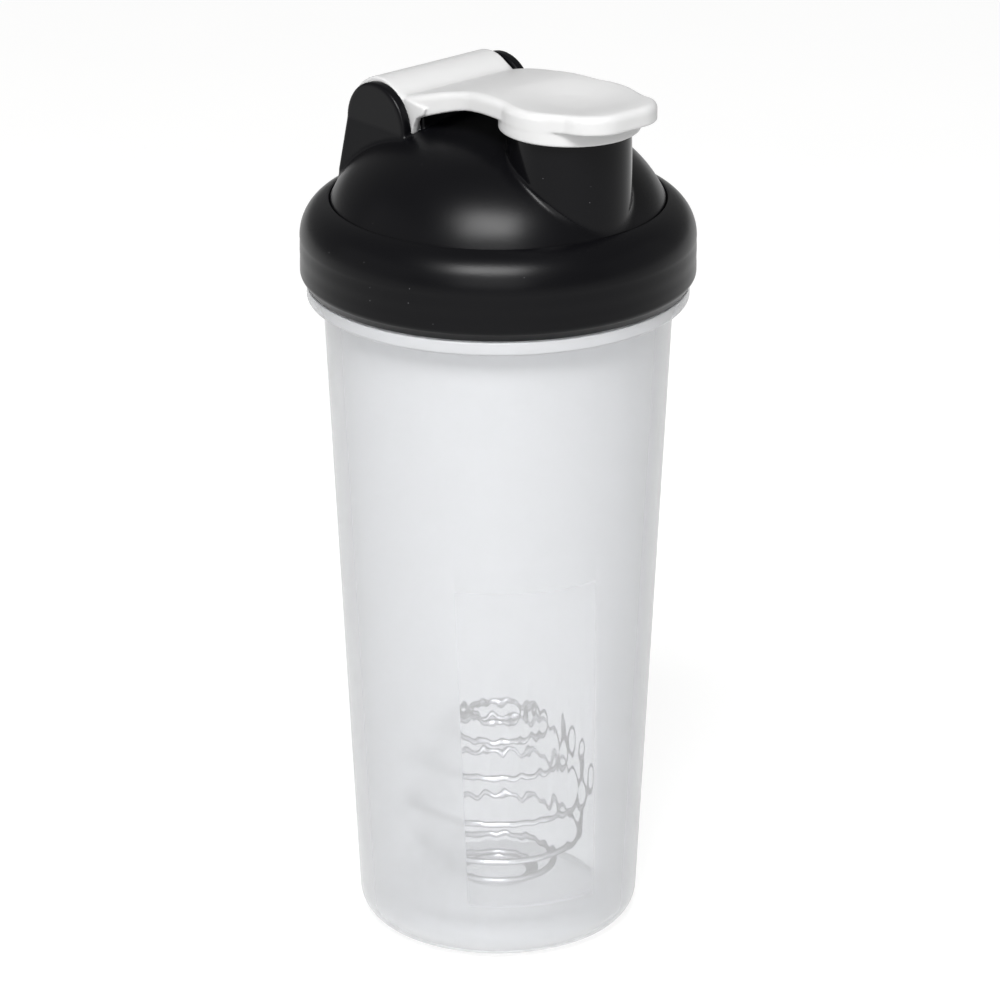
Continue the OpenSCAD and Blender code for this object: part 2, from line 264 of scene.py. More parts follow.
spout = {"y": -25.5, "r": 14.9, "draft": 0.15, "wall": 1.9, "top": lidSize["creaseZ"] + 29.5}
hinge = {"y": 22.8, "z": lidSize["creaseZ"] + 18.7, "barrelR": 10.1, "barrelHalf": 18.0, "pinR": 3.0,
         "earT": 2.7, "earGap": 0.35, "pocketGap": 2.0, "pinGap": 0.08}
hinge["at"] = (hinge["y"], hinge["z"])


# rows of a moulded thread that fades in and out at its ends
def threadRows(rootR, crestR, z0, turn):
    side = 1 if crestR > rootR else -1
    rows, steps = [], 96
    for i in range(steps + 1):
        t = i / steps
        a = radians(turn + thread["arc"] * t)
        z = z0 + thread["lead"] * thread["arc"] / 360 * t
        fade = smooth(t * 9) * smooth((1 - t) * 9)
        inner, outer = rootR - side * 0.5, mix(rootR - side * 0.2, crestR, fade)
        foot, crest = thread["foot"] / 2, mix(thread["foot"] / 2 - 0.4, thread["crest"] / 2, fade)
        row = [(inner, -foot), (outer, -crest), (outer, crest), (inner, foot)]
        rows.append([(r * cos(a), r * sin(a), z + h) for r, h in row])
    return rows, side < 0


def addThreads(points, faces, rootR, crestR, z0, turn):
    for start in range(thread["starts"]):
        rows, flip = threadRows(rootR, crestR, z0, turn + start * 360 / thread["starts"])
        more = swept(rows, len(points), not flip)
        points = list(points) + more[0]
        faces = list(faces) + more[1]
    return points, faces


# camera, floor and light

camera = {"position": (-843.8, -953.7, 601.1), "aim": (0, 0, 109.5), "lens": 199.476, "shift": 0.0018}
cameraData = bpy.data.cameras.new("camera")
cameraData.lens = camera["lens"]
cameraData.sensor_width = 36
cameraData.shift_x = camera["shift"]
cameraData.clip_end = 20
cameraPiece = bpy.data.objects.new("camera", cameraData)
cameraPiece.location = Vector(camera["position"]) * mm
look = Vector(camera["aim"]) - Vector(camera["position"])
cameraPiece.rotation_euler = look.to_track_quat("-Z", "Y").to_euler()
bpy.context.scene.collection.objects.link(cameraPiece)
bpy.context.scene.camera = cameraPiece
bpy.context.scene.view_settings.view_transform = "Standard"

floorLook = {"colour": "#959594", "mottle": "#919190", "glow": 0.8, "half": 5000}


def makeFloor():
    # opal light table: matt, evenly lit from below, with only the faintest mottle
    material, tree, shader, place = newMaterial("opalTable", {
        "Roughness": 0.9, "Specular IOR Level": 0.05, "Emission Color": (1, 1, 1, 1),
        "Emission Strength": floorLook["glow"]})
    mottle = addNode(tree, "ShaderNodeTexNoise", {"Scale": perMetre(60), "Detail": 2.0}, {"Vector": place})
    ramp = addNode(tree, "ShaderNodeValToRGB", {}, {"Fac": mottle.outputs["Fac"]})
    ramp.color_ramp.elements[0].color = colour(floorLook["mottle"])
    ramp.color_ramp.elements[1].color = colour(floorLook["colour"])
    tree.links.new(ramp.outputs["Color"], shader.inputs["Base Color"])
    half = floorLook["half"]
    floor = newPiece("floor", [(-half, -half, 0), (half, -half, 0), (half, half, 0), (-half, half, 0)],
                     [(0, 1, 2, 3)], [material], 0)


lights = {      # azimuth from +X towards +Y, height, distance, width, depth, watts
    "overhead": (221, 960, 610, 560, 340, 15.0),
    "leftWall": (150, 560, 1500, 1500, 1300, 2.0),
    "rightWall": (320, 560, 1500, 1500, 1300, 1.2),
    "frontFill": (224, 800, 1700, 1300, 900, 8.0),
}
world = {"colour": "#FFFFFF", "strength": 0.27}


def makeLights():
    scene = bpy.context.scene
    scene.world = bpy.data.worlds.new("studio")
    scene.world.use_nodes = True
    background = scene.world.node_tree.nodes["Background"]
    background.inputs["Color"].default_value = colour(world["colour"])
    background.inputs["Strength"].default_value = world["strength"]
    target = Vector((0, 0, 150 * mm))
    for name, (azimuth, height, distance, width, depth, watts) in lights.items():
        data = bpy.data.lights.new(name, "AREA")
        data.shape, data.size, data.size_y, data.energy = "RECTANGLE", width * mm, depth * mm, watts
        light = bpy.data.objects.new(name, data)
        a = radians(azimuth)
        light.location = (distance * cos(a) * mm, distance * sin(a) * mm, height * mm)
        light.rotation_euler = (target - light.location).to_track_quat("-Z", "Y").to_euler()
        scene.collection.objects.link(light)


makeFloor()
makeLights()
print("camera, floor and lights are set")


# finishes

# the clear strip is cut by planes square to stripFacing: left is its edge at the table and leftLean
# how far that edge moves over per millimetre of height
cupLook = {"tint": "#F0F1F3", "frostRoughness": 0.255, "frostSpread": 0.01, "clearRoughness": 0.03,
           "through": 0.7, "clearThrough": 0.85, "paintedGlow": 0.07,
           "stripFacing": 228.5, "left": -6.75, "leftLean": -0.0375, "right": 23.6, "sideFade": 0.12,
           "backOff": 19.0, "frontOn": 20.0, "low": 19.0, "lowFade": 6.0, "high": 88.0, "highFade": 20.0,
           "ripple": 0.1, "rippleLength": 5.2, "rippleLow": 22.0, "rippleRise": 30.0,
           "rippleHigh": 64.0, "rippleFall": 18.0}


def makeFrostedMaterial():
    # polypropylene blown against a sparked mould: milky, it blurs what is behind it, with one
    #     # strip polished so that it reads clear; that strip carries a faint painted glow, standing in for
    #     light carried in the wall
    material, tree, shader, place = newMaterial("frostedPolypropylene", {
        "Base Color": colour(cupLook["tint"]), "IOR": 1.49, "Transmission Weight": cupLook["through"],
        "Specular IOR Level": 0.4, "Emission Color": (1, 1, 1, 1)})
    a = radians(cupLook["stripFacing"])
    split = addNode(tree, "ShaderNodeSeparateXYZ", {}, {"Vector": place})
    facing = addNode(tree, "ShaderNodeVectorMath",
                     {"operation": "DOT_PRODUCT", 1: (cos(a), sin(a), 0)}, {0: place})
    across = addNode(tree, "ShaderNodeVectorMath",
                     {"operation": "DOT_PRODUCT", 1: (-sin(a), cos(a), 0)}, {0: place})
    upright = addNode(tree, "ShaderNodeMath", {"operation": "MULTIPLY_ADD", 1: -cupLook["leftLean"]},
                      {0: split.outputs["Z"], 2: across.outputs["Value"]})
    left, right, fade = cupLook["left"], cupLook["right"], cupLook["sideFade"]
    bottom, bottomFade, top, topFade = (cupLook[k] for k in ("low", "lowFade", "high", "highFade"))
    strip = None
    for value, low, high in ((upright.outputs[0], left - fade, left + fade),
                             (across.outputs["Value"], right + fade, right - fade),
                             (facing.outputs["Value"], cupLook["backOff"], cupLook["frontOn"]),
                             (split.outputs["Z"], bottom - bottomFade, bottom + bottomFade),
                             (split.outputs["Z"], top + topFade, top - topFade)):
        limit = addNode(tree, "ShaderNodeMapRange",
                        {"From Min": low * mm, "From Max": high * mm}, {"Value": value})
        product = {} if strip is None else {1: strip}
        strip = addNode(tree, "ShaderNodeMath", {"operation": "MULTIPLY", 1: 1.0},
                        {0: limit.outputs["Result"], **product}).outputs[0]
    mottle = addNode(tree, "ShaderNodeTexNoise", {"Scale": perMetre(9), "Detail": 3.0}, {"Vector": place})
    frosted, spread = cupLook["frostRoughness"], cupLook["frostSpread"]
    frost = addNode(tree, "ShaderNodeMapRange", {"To Min": frosted - spread, "To Max": frosted + spread},
                    {"Value": mottle.outputs["Fac"]})
    roughness = addNode(tree, "ShaderNodeMix", {"data_type": "FLOAT", "B": cupLook["clearRoughness"]},
                        {"Factor": strip, "A": frost.outputs["Result"]})
    tree.links.new(roughness.outputs[0], shader.inputs["Roughness"])
    through = addNode(tree, "ShaderNodeMix", {"data_type": "FLOAT", "A": cupLook["through"],
                      "B": cupLook["clearThrough"]}, {"Factor": strip})
    tree.links.new(through.outputs[0], shader.inputs["Transmission Weight"])
    # painted glow: the clear strip emits a little light of its own, which brightens it
    paintedGlow = addNode(tree, "ShaderNodeMath", {"operation": "MULTIPLY", 1: cupLook["paintedGlow"]}, {0: strip})
    tree.links.new(paintedGlow.outputs[0], shader.inputs["Emission Strength"])
    return material


lidLook = {"black": "#08080A", "roughness": 0.3, "glossRoughness": 0.12, "grain": 0.45, "specular": 0.13}


def makeBlackMaterial(name, roughness, grainDepth):
    # polypropylene injection moulded in a lightly blasted tool: deep black with a satin bloom,
    # a grain of about half a millimetre and a few grey dust specks
    material, tree, shader, place = newMaterial(name, {
        "Base Color": colour(lidLook["black"]), "IOR": 1.49, "Specular IOR Level": lidLook["specular"]})
    grain = addNode(tree, "ShaderNodeTexNoise", {"Scale": perMetre(lidLook["grain"]), "Detail": 2.0},
                    {"Vector": place})
    cloud = addNode(tree, "ShaderNodeTexNoise", {"Scale": perMetre(14), "Detail": 3.0}, {"Vector": place})
    bloom = addNode(tree, "ShaderNodeMapRange", {"To Min": roughness - 0.05, "To Max": roughness + 0.05},
                    {"Value": cloud.outputs["Fac"]})
    tree.links.new(bloom.outputs["Result"], shader.inputs["Roughness"])
    bump = addNode(tree, "ShaderNodeBump", {"Strength": 0.35, "Distance": grainDepth * mm},
                   {"Height": grain.outputs["Fac"]})
    tree.links.new(bump.outputs["Normal"], shader.inputs["Normal"])
    specks = addNode(tree, "ShaderNodeTexVoronoi", {"Scale": perMetre(2.6)}, {"Vector": place})
    dot = addNode(tree, "ShaderNodeMapRange",
                  {"From Min": 0.03, "From Max": 0.07, "To Min": 1.0, "To Max": 0.0},
                  {"Value": specks.outputs["Distance"]})
    pick = addNode(tree, "ShaderNodeMath", {"operation": "GREATER_THAN", 1: 0.8},
                   {0: specks.outputs["Color"]})
    dust = addNode(tree, "ShaderNodeMath", {"operation": "MULTIPLY"},
                   {0: dot.outputs["Result"], 1: pick.outputs[0]})
    tint = addNode(tree, "ShaderNodeMix", {"data_type": "RGBA", "A": colour(lidLook["black"]),
                   "B": colour("#4A4A4C")}, {"Factor": dust.outputs[0]})
    tree.links.new(tint.outputs[2], shader.inputs["Base Color"])
    return material


capLook = {"white": "#BABABA", "roughness": 0.42}


def makeWhiteMaterial():
    # white polypropylene, injection moulded in a plain polished tool: soft sheen, slight light carried inside
    material, tree, shader, place = newMaterial("whitePolypropylene", {
        "Base Color": colour(capLook["white"]), "IOR": 1.49, "Specular IOR Level": 0.35,
        "Subsurface Weight": 0.15, "Subsurface Radius": (1.0, 1.0, 1.0), "Subsurface Scale": 0.8 * mm})
    cloud = addNode(tree, "ShaderNodeTexNoise", {"Scale": perMetre(11), "Detail": 3.0}, {"Vector": place})
    sheen = addNode(tree, "ShaderNodeMapRange", {"To Min": capLook["roughness"] - 0.05,
                    "To Max": capLook["roughness"] + 0.05}, {"Value": cloud.outputs["Fac"]})
    tree.links.new(sheen.outputs["Result"], shader.inputs["Roughness"])
    grain = addNode(tree, "ShaderNodeTexNoise", {"Scale": perMetre(0.5), "Detail": 2.0}, {"Vector": place})
    bump = addNode(tree, "ShaderNodeBump", {"Strength": 0.25, "Distance": 0.01 * mm},
                   {"Height": grain.outputs["Fac"]})
    tree.links.new(bump.outputs["Normal"], shader.inputs["Normal"])
    return material


def makeSiliconeMaterial():
    # silicone rubber, compression moulded: matt, slightly milky
    material, tree, shader, place = newMaterial("siliconeRubber", {
        "IOR": 1.41, "Specular IOR Level": 0.3, "Subsurface Weight": 0.2,
        "Subsurface Radius": (1.0, 1.0, 1.0), "Subsurface Scale": 1.0 * mm, "Roughness": 0.6})
    cloud = addNode(tree, "ShaderNodeTexNoise", {"Scale": perMetre(4), "Detail": 3.0}, {"Vector": place})
    ramp = addNode(tree, "ShaderNodeValToRGB", {}, {"Fac": cloud.outputs["Fac"]})
    ramp.color_ramp.elements[0].color = colour("#D9D9D5")
    ramp.color_ramp.elements[1].color = colour("#E6E6E2")
    tree.links.new(ramp.outputs["Color"], shader.inputs["Base Color"])
    return material


def makeSteelMaterial():
    # stainless steel wire, drawn and electropolished, unevenly polished from place to place; its base colour
    # is
    #     # painted bright where it faces the eye and dark towards its edges, a painted reflection of its
    #     surroundings
    material, tree, shader, place = newMaterial("stainlessWire", {
        "Base Color": colour("#A9ACB1"), "Metallic": 1.0, "Roughness": 0.16})
    marks = addNode(tree, "ShaderNodeTexNoise", {"Scale": perMetre(1.2), "Detail": 4.0}, {"Vector": place})
    wear = addNode(tree, "ShaderNodeMapRange", {"To Min": 0.1, "To Max": 0.24},
                   {"Value": marks.outputs["Fac"]})
    tree.links.new(wear.outputs["Result"], shader.inputs["Roughness"])
    # painted reflection: the base colour runs from bright where the wire faces the eye to dark at its edges
    edge = addNode(tree, "ShaderNodeLayerWeight", {"Blend": 0.5})
    paintedReflection = addNode(tree, "ShaderNodeValToRGB", {}, {"Fac": edge.outputs["Facing"]})
    paintedReflection.color_ramp.elements[0].color = colour("#F2F3F5")
    paintedReflection.color_ramp.elements[0].position = 0.06
    paintedReflection.color_ramp.elements[1].color = colour("#1E2126")
    paintedReflection.color_ramp.elements[1].position = 0.5
    tree.links.new(paintedReflection.outputs["Color"], shader.inputs["Base Color"])
    return material


frostedPolypropylene = makeFrostedMaterial()
blackPolypropylene = makeBlackMaterial("blackPolypropylene", lidLook["roughness"], 0.03)
glossBlackPolypropylene = makeBlackMaterial("glossBlackPolypropylene", lidLook["glossRoughness"], 0.006)
whitePolypropylene = makeWhiteMaterial()
siliconeRubber = makeSiliconeMaterial()
stainlessWire = makeSteelMaterial()
print("materials are ready")


# cup: a tapered, blown and frosted body with a moulded collar and neck

cup = {"cornerR": 7.0, "pushUp": 5.2, "footR": 29.0, "footWidth": 3.2, "rimRound": 0.6,
       "lip": 1.2, "collarRound": 0.8, "collarIn": 1.6, "wallRows": 190}
cup["floorZ"] = cup["pushUp"] + base["cupWall"] + 0.2


def makeCup():
    footIn = cup["footR"] - cup["footWidth"]
    collarZ, drop, lip, edge = base["collarZ"], base["collarDrop"], cup["lip"], cup["collarRound"]
    collarR = lidSize["r"] - cup["collarIn"]
    lean = degrees(atan2(base["neckR"] - base["baseR"], collarZ - drop - cup["cornerR"]))
    cornerX, wall, corner = base["baseR"] - cup["cornerR"], base["cupWall"], cup["cornerR"]
    outer = [(0, cup["pushUp"]), (12, cup["pushUp"])]
    outer += arcPoints(footIn - 3, cup["pushUp"] - 3, 3, 90, 20, 8)
    outer += [(footIn, 0.4), (footIn + 0.4, 0.05), (footIn + 0.8, 0), (cup["footR"] - 0.4, 0),
              (cup["footR"], 0.05)]
    outer += arcPoints(cornerX, corner, corner, -75, -lean, 24)
    wallTop = (base["neckR"], collarZ - drop - lip / 2)
    start = outer[-1]
    outer += [(mix(start[0], wallTop[0], t), mix(start[1], wallTop[1], t))
              for t in np.linspace(0, 1, 60)[1:-1]]
    outer += arcPoints(base["neckR"] + lip, collarZ - drop - lip / 2, lip, 180, 90, 8)
    outer += arcPoints(collarR - edge, collarZ - drop + lip / 2 + edge, edge, -90, 0, 8)
    outer += arcPoints(collarR - 0.3, collarZ - 0.3, 0.3, 0, 90, 3)
    outer += arcPoints(base["neckR"] + 0.3, collarZ + 0.3, 0.3, 270, 180, 3)
    outer += [(base["neckR"], base["cupH"] - 6)]
    outer += arcPoints(base["neckR"] - cup["rimRound"], base["cupH"] - cup["rimRound"], cup["rimRound"],
                       0, 90, 5)
    inner = arcPoints(base["boreR"] + 0.4, base["cupH"] - 0.4, 0.4, 90, 180, 4)
    inner += [(base["boreR"], base["cupH"] - 8), (base["boreR"], collarZ - drop)]
    foot = arcPoints(cornerX, corner, corner - wall, -lean, -82, 16)
    low = foot[0]
    inner += [(mix(base["boreR"], low[0], t), mix(collarZ - drop, low[1], t))
              for t in np.linspace(0, 1, cup["wallRows"])[1:-1]]
    inner += foot + [(footIn + 2, wall + 0.4)]
    inner += arcPoints(footIn - 3, cup["floorZ"] - 3.4, 3.4, 20, 70, 6)
    inner += [(footIn - 3, cup["floorZ"]), (12, cup["floorZ"]), (0, cup["floorZ"])]
    innerStart = len(outer)

    # the inside wall behind the polished strip is rippled, most of all to its right and low down,
    # so the columns of points stand close there and further apart round the rest
    facing = radians(cupLook["stripFacing"])
    first, last = facing - radians(22), facing + radians(44)
    close, apart = radians(0.25), radians(1.5)
    angles = np.concatenate([np.arange(first, last - 1e-6, close),
                             np.arange(last, first + 2 * pi - 1e-6, apart)])

    def ripple(r, z, turn):
        if z > collarZ - drop:
            return 0 * turn
        across = r * np.sin(turn - facing)
        left, right = cupLook["left"] + cupLook["leftLean"] * z, cupLook["right"]
        along = across / cupLook["rippleLength"]
        fade = smooth((across - left + 1) / 2) * smooth((right - across + 1) / 2)
        fade = fade * (np.cos(turn - facing) > 0)
        grow = smooth((z - cupLook["rippleLow"]) / cupLook["rippleRise"])
        grow = grow * (1 - 0.9 * smooth((z - cupLook["rippleHigh"]) / cupLook["rippleFall"]))
        grow = grow * (0.5 + 0.9 * (across - left) / (right - left))
        wave = (0.5 * np.sin(2 * pi * (along + z / 13.0))
                + 0.4 * np.sin(2 * pi * (along * 1.37 - z / 16.0) + 1.1)
                + 0.3 * np.sin(2 * pi * along * 2.3 + 0.7) + 0.4 * np.sin(2 * pi * along * 0.41 + 2.0))
        return cupLook["ripple"] * grow * fade * wave

    points, faces = turned(outer + inner, angles, bend=ripple, bendFrom=innerStart)
    points, faces = addThreads(points, faces, base["neckR"], base["neckR"] + thread["out"], thread["z"], 0)
    piece = newPiece("cupBody", points, faces, [frostedPolypropylene])
    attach(piece, "cup")
    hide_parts("cup")


makeCup()
print("cup is made")


# lid: a screw ring turned in one profile, and the dome with spout and ears on it

lid = {"shoulderR": 10.0, "edge": 1.8, "sinkDepth": 0.05, "spoutFillet": 0.9, "earFillet": 0.8,
       "earEdge": 0.9, "earOut": 0.5, "earForward": 1.75, "earLow": 1.0, "earFlare": 2.4, "cell": 0.45,
       "shoulderDrop": 8.7, "sinkPitch": 4.2, "threadUp": 4.6, "threadTurn": 15, "crownDrop": 4.7,
       "lipT": 1.4, "lipIn": 2.4, "lipUp": 5.0, "lipBack": 3.0, "lipDrop": 3.4}


def domeOutline(wall, rows=40):
    crownR = lidSize["creaseR"] * 0.59
    drop, height, reach = lid["crownDrop"], lidSize["domeH"], lidSize["creaseR"]
    knee = 2 * atan(drop / crownR)
    crown = (crownR ** 2 + drop ** 2) / (2 * drop)
    fall, run = height - drop, reach - crownR
    chord = sqrt(fall ** 2 + run ** 2)
    halfTurn = atan2(fall, run) - knee
    side = chord / (2 * sin(halfTurn))
    cx, cy = crownR - side * sin(knee), lidSize["topZ"] - drop - side * cos(knee)
    kneeAngle = 90 - degrees(knee)
    return (arcPoints(cx, cy, side - wall, kneeAngle - 2 * degrees(halfTurn), kneeAngle, rows)
            + arcPoints(0, lidSize["topZ"] - crown, crown - wall, kneeAngle, 90, rows // 2)[1:])


def makeLidRing():
    r, low, land, bore, plug = (lidSize[k] for k in ("r", "lowZ", "landZ", "boreR", "plugR"))
    shoulderZ = lidSize["creaseZ"] - lid["shoulderDrop"]
    plugIn, plugLow = plug - lidSize["plugWall"], base["cupH"] - lidSize["plugH"]
    profile = [(bore + 0.2, low), (r - lid["edge"] + 0.2, low)]
    profile += arcPoints(r - lid["edge"], low + lid["edge"] + 1.2, lid["edge"], -50, 0, 10)
    # faint sink bands where the threads stand behind the skirt
    for z in np.arange(low + lid["edge"] + 1.8, shoulderZ - 0.3, 0.5):
        profile.append((r - lid["sinkDepth"] * (1 - cos((z - low) * 2 * pi / lid["sinkPitch"])) / 2, z))
    profile += arcPoints(r - lid["shoulderR"], shoulderZ, lid["shoulderR"], 0, 71, 36)
    lipX, lipZ = profile[-1]
    profile += arcPoints(lipX - 0.15, lipZ - 0.35, 0.35, 60, 170, 5)
    profile += [(lidSize["creaseR"] - 0.1, lidSize["creaseZ"] - 0.4), (plugIn, lidSize["creaseZ"] - 0.4),
                (plugIn, plugLow + 0.3), (plugIn + 0.3, plugLow), (plug - 0.6, plugLow),
                (plug, plugLow + 0.6), (plug, land), (bore, land), (bore, low + 0.2)]
    points, faces = turned(profile, evenAngles(360), closed=True)
    threadZ = thread["z"] + lid["threadUp"]
    points, faces = addThreads(points, faces, bore, bore - thread["out"], threadZ, lid["threadTurn"])
    piece = newPiece("lidRing", points, faces, [blackPolypropylene])
    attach(piece, "lid")
    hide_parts("lid")


def makeLidDome():
    creaseR, creaseZ, wall = lidSize["creaseR"], lidSize["creaseZ"], lidSize["domeWall"]
    plugIn = lidSize["plugR"] - lidSize["plugWall"]
    outside, inside = domeOutline(0), [p for p in domeOutline(wall) if p[0] < plugIn]
    low = creaseZ - 1.2
    shell = outlineField([(plugIn, low), (creaseR, low)] + outside + [(-6, lidSize["topZ"])]
                         + [(-6, inside[-1][1])] + inside[::-1])
    solid = outlineField([(-6, low), (creaseR, low)] + outside + [(-6, lidSize["topZ"])])
    hollow = outlineField([(-6, low - 8), (plugIn, low - 8), (plugIn, low)] + inside + [(-6, inside[-1][1])])
    earR = hinge["barrelR"] + lid["earOut"]
    earY, earZ = hinge["y"] - lid["earForward"], hinge["z"] - lid["earLow"]
    xIn = hinge["barrelHalf"] + hinge["earGap"]
    earSide = outlineField([(earY - earR - 3, low), (earY + earR + 0.8, low)]
                           + arcPoints(earY, earZ, earR, 0, 180, 40) + [(earY - earR - 3, earZ - 9)])
    pocketR = hinge["barrelR"] + hinge["pocketGap"]

    def field(x, y, z):
        r, across = np.hypot(x, y), np.abs(x)
        body = shell(r, z)
        taper = spout["r"] + spout["draft"] * (1 - 2 * (z - creaseZ) / (spout["top"] - creaseZ))
        tube = keep(np.hypot(x, y - spout["y"]) - taper, z - spout["top"], 0.7)
        tube = np.maximum(tube, low - z)
        flare = np.clip((earZ - z) / (earZ - low - 6), 0, 1) * lid["earFlare"]
        ear = keep(earSide(y, z), across - xIn - hinge["earT"] - flare, lid["earEdge"])
        ear = keep(ear, xIn - across, 0.4)
        body = join(body, tube, lid["spoutFillet"])
        body = join(body, ear, lid["earFillet"])
        cover = np.maximum(rod(x, y, z, hinge["at"], pocketR + wall, xIn + hinge["earT"]), solid(r, z))
        body = np.minimum(body, cover)
        body = np.maximum(body, -hollow(r, z))
        lip = rod(x, y, z, hinge["at"], pocketR + lid["lipT"], hinge["barrelHalf"] - lid["lipIn"], 0.4)
        lipBack, lipLow = y - hinge["y"] + pocketR - lid["lipBack"], lidSize["topZ"] - lid["lipDrop"] - z
        lip = np.maximum(lip, np.maximum(lipBack, lipLow))
        body = join(body, keep(lip, z - hinge["z"] - lid["lipUp"], 0.4), 0.5)
        body = keep(body, -rod(x, y, z, hinge["at"], pocketR, xIn), 0.4)
        socketR, socketEnd = hinge["pinR"] + hinge["pinGap"], xIn + hinge["earT"] - 1
        body = np.maximum(body, -rod(x, y, z, hinge["at"], socketR, socketEnd))
        bore = np.hypot(x, y - spout["y"]) - (spout["r"] - spout["wall"])
        return keep(body, np.maximum(-bore, creaseZ - 2.5 - z), 0.7)

    points, faces = fieldMesh(field, (-42.3, -42.6, creaseZ - 2), (42.3, 42.6, spout["top"] + 1), lid["cell"])
    piece = newPiece("lidDome", points, faces, [blackPolypropylene, glossBlackPolypropylene], 0)
    middle = np.array([np.mean(points[face], 0) for face in faces])
    radial = np.hypot(middle[:, 0], middle[:, 1] - spout["y"])
    aboveDome = solid(np.hypot(*middle[:, :2].T), middle[:, 2]) > 0.3
    onSpout = (radial < spout["r"] + spout["draft"] + 0.02) & aboveDome
    piece.data.polygons.foreach_set("material_index", onSpout.astype(np.int32))
    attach(piece, "lid")
    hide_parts("lid")


makeLidRing()
makeLidDome()
print("lid is made")


# flip cap: hinge barrel, saddle, skirt over the spout, dished top and thumb tab

cap = {"wall": 1.8, "tabOut": 5.0, "tabHalf": 13.0, "tabRound": 9.0, "waistY": -6.0, "waistHalf": 14.6,
       "tabRise": 1.2, "rim": 4.6, "saddleLow": 1.3, "dishR": 12.4, "dishDepth": 1.3, "topRound": 2.0,
       "cell": 0.4, "endWall": 2.0, "pinOut": 1.5}
cap["skirtR"] = spout["r"] + 1.1 + cap["wall"] / 2
cap["seatZ"] = spout["top"] + 0.25
cap["plateZ"] = cap["seatZ"] + cap["wall"]
cap["skirtLowZ"] = spout["top"] - 5.4
cap["valleyZ"] = hinge["z"] + hinge["barrelR"] - 2.7
cap["wideY"] = hinge["y"] - hinge["barrelR"] + 1.1
cap["tipY"] = spout["y"] - cap["skirtR"] - cap["tabOut"]
cap["bossR"] = spout["r"] - spout["wall"] - 2.6
cap["bossLowZ"] = spout["top"] - 3.2


def capTop(y):
    run = np.clip((cap["wideY"] - y) / (cap["wideY"] - spout["y"] - 10), 0, 1)
    rise = cap["tabRise"] * smooth((spout["y"] - y) / (cap["tabOut"] + cap["skirtR"]))
    return mix(cap["valleyZ"], cap["plateZ"], np.sin(run * pi / 2)) + rise


# lower edge of the cap's side wall: deepest beside the barrel
def capLow(y):
    toBarrel = smooth((y - cap["waistY"]) / (cap["wideY"] - cap["waistY"]))
    return capTop(y) - cap["rim"] - cap["saddleLow"] * toBarrel


# the cap seen from above: saddle, round skirt and thumb tab in one flowing line
def capOutline(backY, spacing=0.4, softness=4):
    joinX, tabIn = cap["skirtR"] - 1.2, cap["tabHalf"] - cap["tabRound"]
    ys = np.linspace(backY, cap["waistY"], 30)
    toBarrel = smooth((ys - cap["waistY"]) / (cap["wideY"] - cap["waistY"]))
    half = mix(cap["waistHalf"], hinge["barrelHalf"], toBarrel)
    right = list(zip(half, ys)) + [(joinX, spout["y"] + 6)]
    right += [(cap["skirtR"] * cos(a), spout["y"] + cap["skirtR"] * sin(a))
              for a in np.radians(np.linspace(18, -14, 12))]
    right += arcPoints(tabIn, cap["tipY"] + cap["tabRound"], cap["tabRound"], 0, -90, 16)
    rough = np.array(right + [(-x, y) for x, y in reversed(right)])
    steps = np.hypot(*(np.roll(rough, -1, 0) - rough).T)
    at = np.concatenate([[0], np.cumsum(steps)])
    even = np.linspace(0, at[-1], int(at[-1] / spacing), endpoint=False)
    line = np.stack([np.interp(even, at, np.append(rough[:, k], rough[0, k])) for k in (0, 1)], 1)
    for _ in range(softness):
        line = (np.roll(line, 1, 0) + 2 * line + np.roll(line, -1, 0)) / 4
    return line


